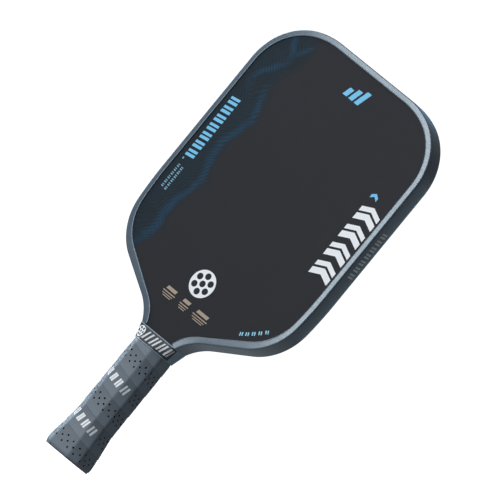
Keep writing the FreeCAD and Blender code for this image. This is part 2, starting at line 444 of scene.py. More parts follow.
def guard_material():
    """Satin moulded edge guard: faint flow marks, fine scuffs and a slightly uneven gloss."""
    base = (0.066, 0.094, 0.128, 1)
    s = Shader("guard_satin", base, 0.30, Specular_IOR_Level=0.95, Specular_Tint=(0.80, 0.93, 1.0, 1),
               Coat_Weight=0.52, Coat_Roughness=0.26,
               Sheen_Weight=0.35, Sheen_Roughness=0.35, Sheen_Tint=(0.25, 0.60, 1.0, 1))
    cloudy = s.noise(26, 3)
    pores = s.noise(2200, 2)
    scuffs = s.noise(60, 4, vector=s.scaled((1.0, 1.0, 22.0)), roughness=0.7)
    s.mottle(cloudy, base, 0.90, 1.10)
    s.rough(s.plus(s.ramp(scuffs, 0.26, 0.35, 0.35, 0.65), s.ramp(cloudy, 0, 0.04)))
    s.bump((scuffs, 0.06, 0.02), (pores, 0.06, 0.015))
    return s.material


def wrap_material():
    """Tacky perforated tape: a fine pebbled skin, faint creases, and painted shade: each turn darker at
    its upper edge, under the turn that laps over it, and lighter towards its lower edge.

    turn_share runs from 0 at a turn's upper edge to 1 at its lower edge, which laps over the next turn.
    """
    base = (0.155, 0.184, 0.219, 1)
    s = Shader("tape_slate", base, 0.50, Specular_IOR_Level=0.4, Sheen_Weight=0.30, Sheen_Roughness=0.4,
               Sheen_Tint=(0.35, 0.65, 1.0, 1))
    pebbles = s.cells(1500)
    fine = s.noise(2600, 2)
    cloudy = s.noise(34, 3)
    creases = s.noise(46, 4, vector=s.scaled((1.0, 1.0, 7.0)), distortion=0.4)
    ground = s.mixed(cloudy, shade(base, 0.92), shade(base, 1.08))
    ground = s.mixed(s.ramp(pebbles, 0, 0.5, 0.0, 0.8), ground, shade(base, 0.78))
    turn_share = s.node("Attribute", attribute_name="turn_share").outputs["Fac"]
    # Painted shade: darkens the colour near each turn's upper edge, under the lapping turn above, and
    # lightens it towards the lower edge.
    stretched = s.ramp(turn_share, 0.86, 1.14, 0.0, 1.0)
    s.colour(s.tinted(ground, stretched))
    s.rough(s.ramp(cloudy, 0.43, 0.56, 0.3, 0.7))
    s.bump((creases, 0.22, 0.25), (pebbles, 0.30, 0.05), (fine, 0.15, 0.02))
    return s.material


def hole_material():
    """Painted shade: near-black walls and bottom of a perforation, darker than the tape's dark base,
    for the shade deep in the hole.
    """
    s = Shader("perforation_painted_shade", (0.003, 0.003, 0.004, 1), 0.9, Specular_IOR_Level=0.1)
    s.colour(s.mixed(s.noise(900, 2), (0.002, 0.002, 0.003, 1), (0.005, 0.005, 0.006, 1)))
    return s.material


def rubber_material(name, base, roughness, gloss=0.5):
    """Moulded rubber or plastic with a dusty bloom and a fine grain."""
    s = Shader(name, base, roughness, Specular_IOR_Level=gloss)
    bloom = s.noise(70, 4)
    grain = s.noise(2400, 2)
    s.mottle(bloom, base, 0.85, 1.18)
    s.rough(s.ramp(bloom, roughness - 0.06, roughness + 0.08, 0.3, 0.7))
    s.bump((bloom, 0.08, 0.05), (grain, 0.18, 0.02))
    return s.material


def ink_material(name, base, roughness=0.45):
    """Screen-printed ink: slightly mottled, with the grain of what it lies on."""
    s = Shader(name, base, roughness, Specular_IOR_Level=0.4)
    mottling = s.noise(240, 3)
    grain = s.noise(650, 3)
    s.mottle(mottling, base, 0.94, 1.04)
    s.rough(s.ramp(mottling, roughness - 0.05, roughness + 0.1))
    s.bump((grain, 0.18, 0.02))
    return s.material


def foam_material(name, base, scale):
    """Closed-cell foam."""
    s = Shader(name, base, 0.85)
    cells = s.cells(scale)
    s.mottle(cells, base, 1.08, 0.80)
    s.bump((cells, 0.5, 0.3))
    return s.material


def ply_material(name, base, pitch_scale, roughness):
    """A woven ply: two crossing sets of strands."""
    s = Shader(name, base, roughness)
    across = s.waves(pitch_scale, "X", 0.4)
    along = s.waves(pitch_scale, "Z", 0.4)
    weave = s.times(across, along)
    s.mottle(weave, base, 0.75, 1.25)
    s.bump((weave, 0.4, 0.1))
    return s.material


def film_material(name, base, roughness, scale):
    """Adhesive film or tape: a smooth skin with a faint flow pattern."""
    s = Shader(name, base, roughness)
    flow = s.noise(scale, 3, distortion=0.5)
    s.mottle(flow, base, 0.88, 1.1)
    s.rough(s.ramp(flow, roughness - 0.05, roughness + 0.1))
    s.bump((flow, 0.15, 0.05))
    return s.material


def steel_material():
    """Bright drawn wire."""
    s = Shader("staple_wire", (0.55, 0.56, 0.58, 1), 0.3, Metallic=1.0)
    drawn = s.noise(300, 2, vector=s.scaled((12.0, 1.0, 1.0)))
    s.rough(s.ramp(drawn, 0.24, 0.38))
    s.bump((drawn, 0.1, 0.02))
    return s.material


# ======== Outlines ========

NEAREST_HIT = 0.5


def heading_vector(heading):
    """Unit vector (x, z), heading in degrees anticlockwise from +X seen from the front."""
    angle = radians(heading)
    return np.array((cos(angle), sin(angle)))


def half_outline(outline, step):
    """Points of an outline's right half, from the top centre down to the neck."""
    crown_radius, crown_turn = outline["crown"]
    corner_radius, corner_turn = outline["corner"]
    crown_sine = sin(radians(crown_turn))
    flat = outline["half_width"] - crown_radius * crown_sine - corner_radius * (1 - crown_sine)
    points = [np.array((0.0, outline["top"]))]
    run(points, 0, flat, step)
    heading = turn(points, 0, crown_radius, crown_turn, step)
    heading = turn(points, heading, corner_radius, corner_turn, step)
    run(points, heading, points[-1][1] - outline["side_end"], step)
    for name in ("ease", "shoulder"):
        heading = turn(points, heading, *outline[name], step)
    run(points, heading, outline["slope"], step)
    radius, angle = outline["throat"]
    heading = turn(points, heading, radius, -angle, step)
    run(points, heading, NECK_RUN, step)
    return np.array(points)


def run(points, heading, length, step):
    """Adds points along a straight run."""
    start, count = points[-1], max(1, round(length / step))
    for i in range(1, count + 1):
        points.append(start + heading_vector(heading) * length * i / count)


def turn(points, heading, radius, angle, step):
    """Adds points along a tangent arc and returns its end heading. A positive angle is clockwise."""
    side = copysign(1, angle)
    start = points[-1]
    centre = start + heading_vector(heading - 90 * side) * radius
    count = max(2, round(abs(radians(angle)) * radius / step))
    for i in range(1, count + 1):
        points.append(centre + heading_vector(heading + 90 * side - angle * i / count) * radius)
    return heading - angle


def full_outline(outline, step):
    """Both halves of an outline, from the left of the neck over the top to the right of the neck."""
    right = half_outline(outline, step)
    left = right[:0:-1] * np.array((-1, 1))
    return np.vstack([left, right])


def tangents(points):
    """Unit tangents of a line of points."""
    along = np.gradient(points, axis=0)
    return along / norm(along, axis=1)[:, None]


def distance_along(point, direction, line):
    """How far a ray from a point runs before it meets a line of points."""
    a, b = line[:-1], line[1:]
    edge = b - a
    cross = direction[0] * edge[:, 1] - direction[1] * edge[:, 0]
    offset = a - point
    with np.errstate(divide="ignore", invalid="ignore"):
        t = (offset[:, 0] * edge[:, 1] - offset[:, 1] * edge[:, 0]) / cross
        s = (offset[:, 0] * direction[1] - offset[:, 1] * direction[0]) / cross
    hits = t[(s >= 0) & (s <= 1) & (t > NEAREST_HIT)]
    return float(hits.min()) if len(hits) else None


# ======== Edge guard ========

GUARD_STEP = 2.0
WALL_CROWN = 0.14
CORNER_ROUND = 1.55
CORNER_DROP = 0.80
CORNER_PARTS = 5
LIP_FALL = 0.45
LIP_PARTS = 5
LIP_RIDGE = 0.55
LIP_CURVE = 0.2
# The lip's inner edge from the face up: distance past the lip's width, share of the lip's height.
LIP_INNER_EDGE = ((0.10, 0.0), (0.06, 0.50), (-0.03, 0.78), (-0.20, 0.94))
WALL_POINTS = 7
WIDEST_LIP = 12
LIP_SMOOTHING = 7


def guard_section(lip):
    """The guard's closed section as (inward distance, y) pairs, front lip first. lip is its width."""
    height = GUARD_Y - FACE_Y
    ridge, edge = lip - LIP_RIDGE, WALL_CROWN + CORNER_ROUND
    shoulder = GUARD_Y - LIP_FALL
    front = [(lip + past, FACE_Y + share * height) for past, share in LIP_INNER_EDGE]
    for i in range(LIP_PARTS + 1):
        t = i / LIP_PARTS
        fall = (1 - LIP_CURVE) * t + LIP_CURVE * t * t
        front.append((ridge + (edge - ridge) * t, GUARD_Y - LIP_FALL * fall))
    for i in range(1, CORNER_PARTS):
        angle = radians(90 * i / CORNER_PARTS)
        front.append((WALL_CROWN + CORNER_ROUND * (1 - sin(angle)),
                      shoulder - CORNER_DROP * (1 - cos(angle))))
    reach = shoulder - CORNER_DROP
    wall = [(WALL_CROWN * (y / reach) ** 2, y) for y in np.linspace(reach, 0, WALL_POINTS)]
    half = front + wall
    outer = [(d, -y) for d, y in half] + [(d, y) for d, y in reversed(half[:-1])]
    return outer + [(GUARD_WALL, FACE_Y), (GUARD_WALL, -FACE_Y)]


def guard_stations():
    """Points, inward directions and lip widths along the guard, between its two ends at the neck."""
    points = full_outline(HEAD, GUARD_STEP)
    inner = full_outline(LIP_OPENING, GUARD_STEP / 2)
    along = tangents(points)
    inward = np.stack([along[:, 1], -along[:, 0]], axis=1)
    stations = [(p, n) for p, n in zip(points, inward) if p[1] >= GUARD_END_Z]
    widths = [distance_along(p, n, inner) for p, n in stations]
    known = [i for i, w in enumerate(widths) if w and w < WIDEST_LIP]
    filled = np.interp(range(len(widths)), known, [widths[i] for i in known])
    padded = np.pad(filled, LIP_SMOOTHING // 2, mode="edge")
    smooth = np.convolve(padded, np.ones(LIP_SMOOTHING) / LIP_SMOOTHING, mode="valid")
    return [(p, n, w) for (p, n), w in zip(stations, smooth)]


def edge_guard(material):
    """The U-shaped guard swept round the head."""
    vertices, faces, rings = [], [], []
    for point, direction, width in guard_stations():
        section = guard_section(width)
        rings.append(range(len(vertices), len(vertices) + len(section)))
        for d, y in section:
            x, z = point + direction * d
            vertices.append((x, y, z))
    join_rings(faces, rings)
    faces.extend((tuple(rings[0]), tuple(rings[-1])))
    return new_object("guard_channel", vertices, faces, [material], 38)


def join_rings(faces, rings):
    """Adds the faces between each closed ring of vertices and the next."""
    for one, two in zip(rings, rings[1:]):
        for i in range(len(one)):
            k = (i + 1) % len(one)
            faces.append((one[i], one[k], two[k], two[i]))


# ======== Handle sections ========

ROUNDING_PARTS = 8
LONGEST_REACH = 0.48
FLARE_SECTIONS = 15
FLARE_STRAIGHT = 0.45


def rounded_octagon(size, growth, radius):
    """Points and normals at even steps round a grown octagon, anticlockwise from above from +X."""
    width, depth, leg = size
    x, y = width / 2 + growth, depth / 2 + growth
    leg = leg + LEG_GROWTH * growth
    cut_x, cut_y = x - leg, y - leg * CORNER_RATIO
    corners = np.array([(x, -cut_y), (x, cut_y), (cut_x, y), (-cut_x, y), (-x, cut_y),
                        (-x, -cut_y), (-cut_x, -y), (cut_x, -y)])
    line = []
    for i, corner in enumerate(corners):
        before, after = corners[i - 1] - corner, corners[(i + 1) % 8] - corner
        into, out = before / norm(before), after / norm(after)
        half = acos(np.clip(into @ out, -1, 1)) / 2
        shorter = min(norm(before), norm(after))
        reach = min(radius / tan(half), LONGEST_REACH * shorter)
        rounding = reach * tan(half)
        centre = corner + (into + out) / norm(into + out) * rounding / sin(half)
        first, last = corner + into * reach - centre, corner + out * reach - centre
        a0, a1 = atan2(first[1], first[0]), atan2(last[1], last[0])
        sweep = (a1 - a0) % TURN
        for k in range(ROUNDING_PARTS + 1):
            angle = a0 + sweep * k / ROUNDING_PARTS
            line.append(centre + rounding * np.array((cos(angle), sin(angle))))
    line = np.array(line)
    start = next(i for i in range(len(line)) if line[i][1] < 0 <= line[(i + 1) % len(line)][1]
                 and line[i][0] > 0)
    line = np.roll(line, -(start + 1), axis=0)
    line = np.vstack([(x, 0.0), line, (x, 0.0)])
    run_to = np.concatenate([[0], np.cumsum(norm(np.diff(line, axis=0), axis=1))])
    at = np.linspace(0, run_to[-1], COLUMNS, endpoint=False)
    points = np.stack([np.interp(at, run_to, line[:, axis]) for axis in (0, 1)], axis=1)
    along = np.roll(points, -1, axis=0) - np.roll(points, 1, axis=0)
    normals = np.stack([along[:, 1], -along[:, 0]], axis=1)
    return points, normals / norm(normals, axis=1)[:, None]


class Sleeve:
    """A soft octagonal sleeve round the handle: sections blended between heights."""

    def __init__(self, sections):
        self.heights = [z for z, _, _ in sections]
        self.points = [p for _, p, _ in sections]
        self.normals = [n for _, _, n in sections]

    def at(self, column, z, lift):
        """The point at a column (fractions allowed) and height, moved outwards by lift."""
        i = min(max(int(np.searchsorted(self.heights, z)) - 1, 0), len(self.heights) - 2)
        share = (z - self.heights[i]) / (self.heights[i + 1] - self.heights[i])
        share = min(max(share, 0.0), 1.0)
        low, part = int(floor(column)), column - floor(column)
        place = np.zeros(2)
        for section, weight in ((i, 1 - share), (i + 1, share)):
            for c, w in ((low % COLUMNS, 1 - part), ((low + 1) % COLUMNS, part)):
                place += weight * w * (self.points[section][c] + lift * self.normals[section][c])
        return (place[0], place[1], z)


def flare_share(z):
    """How much of the butt's flare there is at a height, from 1 at the butt to 0 up the grip."""
    t = min(max((FLARE_END_Z - z) / (FLARE_END_Z - FLARE_START_Z), 0.0), 1.0)
    return FLARE_STRAIGHT * t + (1 - FLARE_STRAIGHT) * t * t * (3 - 2 * t)


def blended(z, first, last, share):
    """A sleeve's section at a height: points and normals between two octagons'."""
    return (z, *(a + (b - a) * share for a, b in zip(first, last)))


def handle_sleeve(growth, radius):
    """A sleeve over the whole wrapped length, from the butt to the ramp under the collar."""
    butt = rounded_octagon(BUTT, growth, radius)
    grip = rounded_octagon(GRIP, growth, radius)
    ramp = rounded_octagon(RAMP_AT_WRAP_END, growth, radius)
    sections = [blended(z, grip, butt, flare_share(z))
                for z in np.linspace(0, FLARE_END_Z, FLARE_SECTIONS)]
    return Sleeve(sections + [(COLLAR_START_Z, *grip), (WRAP_END_Z, *ramp)])


# ======== Grip wrap ========

TAPE_PROFILE_Q = (0.0, 1.2, 5.0, 11.0, 17.0, 20.2, 20.6, 20.9, 21.16, 21.34, 21.4)
TAPE_PROFILE_LIFT = (-0.24, -0.19, -0.06, 0.03, 0.10, 0.14, 0.13, 0.10, 0.02, -0.10, -0.24)
BUTT_ROUND = 3.5
WRAP_CORNER = 4.2
BASE_CORNER = 3.0
TURNS_MADE = 8
MERGE = 0.05
INNER_HEIGHTS = (WRAP_START_Z, 9, 14, 19, 24, 29, 35, COLLAR_START_Z, WRAP_END_Z)
SWELL = 0.35
SWELL_START_Z = 8.0
SWELL_RISE = 24.0
SWELL_FALL = 2.5
HOLE_ROWS = (7, 12, 17)
HOLE_ROW_SHIFT = 4
HOLE_PITCH = 10
HOLE_PHASES = (0, 4, 9)
HOLE_HALF = 2
HOLE_RINGS = ((0.92, 0.0), (0.80, 0.16), (0.74, 1.25))
# Rings of a perforation from this one inwards take the near-black painted shade.
DARK_FROM = 2
HOLES_ABOVE_BUTT = 3.2
HOLES_BELOW_COLLAR = 2.0
PLAIN_UNTIL = 200
WORD_TURNS = (2, 4)
WORD_COLUMNS = (84, 149)


def seam_z(column):
    """Height of the tape's upper edge at a column counted along the whole tape."""
    tilt = SEAM_TILT * sin(TURN * (column - SEAM_TILT_COLUMN) / COLUMNS)
    return FIRST_SEAM_Z - TAPE_PITCH * column / COLUMNS + tilt


def butt_rounding(z):
    """How far the wrap's surface draws in where it turns under at the butt."""
    if z >= BUTT_ROUND:
        return 0.0
    return BUTT_ROUND - sqrt(BUTT_ROUND ** 2 - (BUTT_ROUND - z) ** 2)


def wrap_lift(q):
    """How far the tape stands out at a distance below its upper edge."""
    return float(np.interp(q, TAPE_PROFILE_Q, TAPE_PROFILE_LIFT))


def swell(z):
    """How far the soft tape stands out where neither the butt's flange nor the collar presses on it."""
    above_flange = (z - SWELL_START_Z) / SWELL_RISE
    under_collar = (COLLAR_START_Z - z) / SWELL_FALL
    return SWELL * min(max(min(above_flange, under_collar), 0.0), 1.0)


def wrap_point(sleeve, column, z, q, lift=0.0):
    """A point on the wrap at a height, which is the distance q below the tape's upper edge."""
    return sleeve.at(column, z, wrap_lift(q) + swell(z) - butt_rounding(z) + lift)


def hole_phase(column):
    """Where the perforations start along the tape: the pattern restarts after each printed mark."""
    passed = sum(column >= turn_index * COLUMNS + WORD_COLUMNS[0] for turn_index in WORD_TURNS)
    return HOLE_PHASES[passed]


def is_hole(column, row):
    """True if a perforation's centre is at this column and row of the tape."""
    turn_index, place = divmod(column, COLUMNS)
    if column < PLAIN_UNTIL or row not in HOLE_ROWS:
        return False
    if turn_index in WORD_TURNS and WORD_COLUMNS[0] <= place <= WORD_COLUMNS[1]:
        return False
    shift = HOLE_ROWS.index(row) * HOLE_ROW_SHIFT
    return (column - shift - hole_phase(column)) % HOLE_PITCH == 0


def grip_wrap(material, dark):
    """The wound tape: overlapping turns with real perforations, closed by its inner side."""
    outer, inner = handle_sleeve(WRAP_OUTER, WRAP_CORNER), handle_sleeve(BASE_TAPE, BASE_CORNER)
    rows = len(TAPE_ROWS)
    vertices, index, heights, shares = [], {}, {}, {}
    low_ring, high_ring = [], []
    for column in range(COLUMNS):
        for ring, z in ((low_ring, WRAP_START_Z), (high_ring, WRAP_END_Z)):
            ring.append(len(vertices))
            vertices.append(wrap_point(outer, column, z, (seam_z(column) - z) % TAPE_PITCH))
        for g in range(TURNS_MADE * rows):
            turn_index, row = divmod(g, rows)
            along = column + turn_index * COLUMNS
            z = seam_z(along) - TAPE_ROWS[row]
            heights[column, g] = z
            if z <= WRAP_START_Z + MERGE:
                index[column, g] = low_ring[column]
            elif z >= WRAP_END_Z - MERGE:
                index[column, g] = high_ring[column]
            else:
                index[column, g] = len(vertices)
                shares[len(vertices)] = TAPE_ROWS[row] / TAPE_PITCH
                vertices.append(wrap_point(outer, along, z, TAPE_ROWS[row]))

    def corner(column, g):
        return index[column % COLUMNS, g + rows * (column // COLUMNS)]

    skipped, holes = find_holes(rows, heights)
    faces, dark_faces = [], []
    for column in range(COLUMNS):
        for g in range((TURNS_MADE - 1) * rows - 1):
            if (column, g) in skipped:
                continue
            ring = [corner(column + i, g + j) for i, j in ((0, 0), (0, 1), (1, 1), (1, 0))]
            ring = [v for i, v in enumerate(ring) if v != ring[i - 1]]
            if len(set(ring)) >= 3:
                faces.append(tuple(ring))
    for column, g in holes:
        start = len(vertices)
        dark_faces.extend(cut_hole(vertices, faces, corner, column, g))
        for vertex in range(start, len(vertices)):
            shares[vertex] = TAPE_ROWS[(g + HOLE_HALF) % rows] / TAPE_PITCH
    inner_rings = [add_ring(vertices, inner, z, 0.0) for z in INNER_HEIGHTS]
    join_rings(faces, [low_ring, *inner_rings, high_ring])
    obj = new_object("wound_tape", vertices, faces + dark_faces, [material, dark], 50)
    for polygon in obj.data.polygons[len(faces):]:
        polygon.material_index = 1
    share_turns(obj, shares)
    return obj


def share_turns(obj, shares):
    """Stores how far down its turn each vertex of the tape lies, for the material's painted shade."""
    values = [0.5] * len(obj.data.vertices)
    for vertex, share in shares.items():
        values[vertex] = share
    attribute = obj.data.attributes.new("turn_share", "FLOAT", "POINT")
    attribute.data.foreach_set("value", values)


def find_holes(rows, heights):
    """The grid cells that perforations take up, and the perforations' first corners."""
    skipped, holes = set(), []
    for column in range(COLUMNS):
        for g in range((TURNS_MADE - 1) * rows - 1):
            turn_index, row = divmod(g, rows)
            if not is_hole(column + turn_index * COLUMNS, row):
                continue
            z = heights[column, g]
            if not WRAP_START_Z + HOLES_ABOVE_BUTT < z < COLLAR_START_Z - HOLES_BELOW_COLLAR:
                continue
            first = column - HOLE_HALF
            holes.append((first, g - HOLE_HALF))
            for i in range(2 * HOLE_HALF):
                for j in range(2 * HOLE_HALF):
                    c, r = first + i, g - HOLE_HALF + j
                    skipped.add((c % COLUMNS, r + rows * (c // COLUMNS)))
    return skipped, holes


def cut_hole(vertices, faces, corner, column, g):
    """A round perforation with a soft rim in a square block of cells. Returns its faces that take the
    near-black painted shade.
    """
    size = 2 * HOLE_HALF
    walk = [(i, 0) for i in range(size)] + [(size, j) for j in range(size)]
    walk += [(size - i, size) for i in range(size)] + [(0, size - j) for j in range(size)]
    border = [corner(column + i, g + j) for i, j in walk]
    points = np.array([vertices[v] for v in border])
    centre = np.array(vertices[corner(column + HOLE_HALF, g + HOLE_HALF)])
    side = points[2 * HOLE_HALF + 2] - points[-2]
    down = points[3 * size - 2] - points[2]
    normal = np.cross(side, down)
    normal = normal / norm(normal)
    if normal @ np.array((centre[0], centre[1], 0)) > 0:
        normal = -normal
    e1 = side / norm(side)
    e2 = np.cross(normal, e1)
    rings = [border]
    for radius, depth in HOLE_RINGS:
        ring = []
        for point in points:
            angle = atan2((point - centre) @ e2, (point - centre) @ e1)
            place = centre + radius * (cos(angle) * e1 + sin(angle) * e2) + normal * depth
            ring.append(len(vertices))
            vertices.append(tuple(place))
        rings.append(ring)
    dark = []
    join_rings(faces, rings[:DARK_FROM + 1])
    join_rings(dark, rings[DARK_FROM:])
    return dark + [tuple(rings[-1])]


# ======== Rubber collar ========

COLLAR_RIM = 0.16
COLLAR_BELLY = 0.03
# The bead at each edge of the collar, as (distance from the edge, lift).
COLLAR_BEAD = ((0.0, -0.30), (0.08, -0.10), (0.20, 0.04), (0.40, COLLAR_RIM), (0.65, COLLAR_RIM),
               (0.85, 0.04), (1.0, 0.0), (3.0, 0.0))
COLLAR_LOW_CORNER = 4.6
COLLAR_HIGH_CORNER = 2.2
COLLAR_SECTIONS = 12
INNER_ROWS = 9


def collar_sleeve(growth):
    """The collar's surface, from the grip's octagon at its foot to the flat neck at its top."""
    low = rounded_octagon(COLLAR_LOW, growth, COLLAR_LOW_CORNER)
    high = rounded_octagon(COLLAR_HIGH, growth, COLLAR_HIGH_CORNER)
    height = COLLAR_END_Z - COLLAR_START_Z
    return Sleeve([blended(z, low, high, (z - COLLAR_START_Z) / height)
                   for z in np.linspace(COLLAR_START_Z, COLLAR_END_Z, COLLAR_SECTIONS)])


def rubber_collar(material):
    """The stretched band with a rounded bead at both of its edges."""
    outer, inner = collar_sleeve(0), collar_sleeve(-COLLAR_WALL)
    height = COLLAR_END_Z - COLLAR_START_Z
    outer_rows = [*COLLAR_BEAD, (height / 2, COLLAR_BELLY),
                  *((height - z, lift) for z, lift in reversed(COLLAR_BEAD))]
    vertices, faces = [], []
    rings = [add_ring(vertices, outer, COLLAR_START_Z + z, lift) for z, lift in outer_rows]
    rings += [add_ring(vertices, inner, COLLAR_START_Z + z, 0.0)
              for z in np.linspace(height, 0, INNER_ROWS)]
    join_rings(faces, rings + rings[:1])
    return new_object("neck_band", vertices, faces, [material], 40)


def add_ring(vertices, sleeve, z, lift):
    """Adds a sleeve's ring of points at a height and returns their numbers."""
    start = len(vertices)
    vertices.extend(sleeve.at(column, z, lift) for column in range(COLUMNS))
    return range(start, start + COLUMNS)


# ======== Printed and raised marks ========

INK = 0.05
INK_FOOT = -0.02
PATCH_FOOT = -0.12
BALL_CENTRE = (1.2, 181.3)
BALL_RADIUS = 12.4
BALL_HOLE = 2.9
BALL_HOLE_RING = 7.6
TAPE_BAR = dict(low=13.2, high=5.2, width=2.6, slant=3.0)
COLLAR_BAR = dict(width=2.4, slant=2.2)
TAPE_BLOCKS = ((98.0, 108.5), (110.8, 119.4), (121.2, 130.4), (132.6, 142.8))
COLLAR_BLOCKS = ((109.0, 119.4), (121.2, 131.0), (132.6, 141.8), (143.2, 151.8))
COLLAR_PANEL_COLUMNS = (84, 157)
PANEL_MARGIN = 0.95
PANEL_LIFT = 0.08
PANEL_ROWS = 22
LINE_WIDTH = 0.4
MOTIF_COLUMN = 100.5
MOTIF_RADIUS = 5.0
MOTIF_HOLE_RING = 3.1
COLLAR_COLUMN_WIDTH = 0.8


def bar(x0, x1, z0, z1, slant=0.0, rise=0.0):
    """A parallelogram: its upper edge is moved along X by slant, and its right edge up by rise."""
    return [(x0, z0), (x1, z0 + rise), (x1 + slant, z1 + rise), (x0 + slant, z1)]


def bar_pair(start, end, low, high, width, slant):
    """Two slanted bars, one at each end of a block."""
    return [bar(a, a + width, low, high, slant) for a in (start, end - width - slant)]


def turned_bar(centre, length, thickness, degrees):
    """A rectangle about a centre, turned anticlockwise."""
    a, c = heading_vector(degrees), np.array(centre)
    b = heading_vector(degrees + 90)
    corners = ((-1, -1), (1, -1), (1, 1), (-1, 1))
    return [tuple(c + a * i * length / 2 + b * j * thickness / 2) for i, j in corners]


def chevron(x0, x1, z, thickness, rise):
    """A chevron that points up, between two sides."""
    middle = (x0 + x1) / 2
    return [(x0, z), (middle, z + rise), (x1, z), (x1, z + thickness), (middle, z + rise + thickness),
            (x0, z + thickness)]


def disc(centre, radius, count, start=0.0):
    """Points at even steps round a circle."""
    angles = [TURN * (i + start) / count for i in range(count)]
    return [(centre[0] + radius * cos(a), centre[1] + radius * sin(a)) for a in angles]


def spaced(start, pitch, count):
    """Even steps from a start."""
    return [start + i * pitch for i in range(count)]


def top_mark():
    """Three slanted bars of rising height at the head's top."""
    bars = ((-11.0, -6.2, 383.0, 2.6), (-4.0, 0.8, 386.0, 3.6), (3.0, 7.8, 389.0, 4.6))
    return [bar(x0, x1, 375.0, top, slant) for x0, x1, top, slant in bars]


def left_stripe():
    """Seven slanted blocks, each split by a narrow slit, down the left side."""
    return [bar(-92.6, -83.1, z + low, z + high, rise=1.4)
            for z in spaced(254.6, 9.2, 7) for low, high in ((0.0, 2.7), (4.2, 6.6))]


def left_dashes():
    """Two columns of fine dashes under the left stripe, and a dot above them."""
    left, right = (-91.4, -89.2), (-87.0, -84.8)
    dashes = ((left, 0.0, 1.1), (left, 1.9, 2.7), (right, -0.6, 0.5), (right, 1.3, 2.1))
    shapes = [bar(*sides, z + low, z + high)
              for z in spaced(222.4, 4.1, 6) for sides, low, high in dashes]
    return shapes + [bar(-92.2, -91.0, 250.6, 252.6)]


def right_stripe():
    """Four pairs of bold chevrons up the right side."""
    return [chevron(73.0, 95.0, z + low, thickness, 4.6)
            for z in spaced(244.0, 19.0, 4) for low, thickness in ((0.0, 6.0), (8.2, 4.6))]


def ball_holes():
    """The seven round holes of the ball motif: one in the middle and six round it."""
    centres = [BALL_CENTRE] + disc(BALL_CENTRE, BALL_HOLE_RING, 6, 0.5)
    return [disc(centre, BALL_HOLE, 24) for centre in centres]


def beige_marks():
    """Three small groups: a short thick bar above three thin lines."""
    rows = ((0.12, 0.12, 160.2, 163.2, 0.8), (0.0, 0.0, 157.6, 158.5, 0.0),
            (0.06, 0.10, 155.6, 156.3, 0.0), (0.18, 0.18, 153.9, 154.6, 0.0))
    shapes = []
    for x0, x1 in ((-25.5, -11.2), (-4.8, 5.6), (11.5, 28.8)):
        width = x1 - x0
        for left, right, low, high, slant in rows:
            shapes.append(bar(x0 + width * left, x1 - width * right, low, high, slant))
    return shapes


def shoulder_dashes():
    """Five pairs of short dashes that rise along the lower right shoulder."""
    shapes = []
    for i in range(5):
        t = i / 4
        x, z = 60.3 + 18.5 * t, 169.3 + 14.3 * t ** 1.15
        for centre in ((x, z), (x + 1.7, z + 1.1)):
            shapes.append(turned_bar(centre, 3.2, 1.1, 112 + 12 * t))
    return shapes


def face_place(side):
    """Where a flat mark's point lies on a face, as seen from in front of that face."""
    return lambda x, z, lift: (x * side, -side * (FACE_Y + lift), z)


def face_marks(inks):
    """The same generic printed marks on both faces."""
    sets = (("top_mark", top_mark(), "blue"), ("left_stripe", left_stripe(), "blue"),
            ("left_dashes", left_dashes(), "pale_blue"), ("right_stripe", right_stripe(), "white"),
            ("corner_mark", [chevron(73.2, 80.8, 323.0, 3.2, 2.6)], "blue"),
            ("ball_motif", [disc(BALL_CENTRE, BALL_RADIUS, 64)], "white"),
            ("fine_marks", beige_marks(), "beige"), ("shoulder_dashes", shoulder_dashes(), "cyan"))
    for name, outlines, ink in sets:
        holes = ball_holes() if name == "ball_motif" else []
        for side, word in ((1, "front"), (-1, "back")):
            parts = [slab(outline, holes, face_place(side), INK_FOOT, INK) for outline in outlines]
            mark(f"{word}_{name}", parts, inks[ink], 30)


def wall_mark(material):
    """Seven pairs of small raised bars on the guard's right wall."""
    def place(y, z, lift):
        crown = WALL_CROWN * (y / GUARD_Y) ** 2
        return (WIDTH / 2 - crown + lift, y, z)
    parts = []
    for z in spaced(260.5, 7.0, 7):
        for low, high in ((z, z + 1.8), (z + 2.9, z + 4.7)):
            parts.append(patch(place, bar(-3.3, 4.0, low, high, rise=0.8), -0.1, 0.22, 3, 2))
    mark("guard_raised_mark", parts, material, 30)


def tape_marks(inks):
    """Pairs of slanted bars printed on two turns of the tape, each turn's last pair in grey: painted
    shade for the facet that turns away from the light.
    """
    outer = handle_sleeve(WRAP_OUTER, WRAP_CORNER)

    def place(column, q, lift):
        return wrap_point(outer, column, seam_z(column) - q, q, lift)

    white, grey = [], []
    for turn_index in WORD_TURNS:
        for start, end in TAPE_BLOCKS:
            first = turn_index * COLUMNS
            # Painted shade: the last pair lies on the front-right facet and takes the grey ink instead
            # of white.
            target = grey if (start, end) == TAPE_BLOCKS[-1] else white
            for corners in bar_pair(start + first, end + first, **TAPE_BAR):
                target.append(patch(place, corners, PATCH_FOOT, INK, 4, 8))
    mark("tape_mark_white", white, inks["white"])
    mark("tape_mark_grey_painted_shade", grey, inks["grey"])


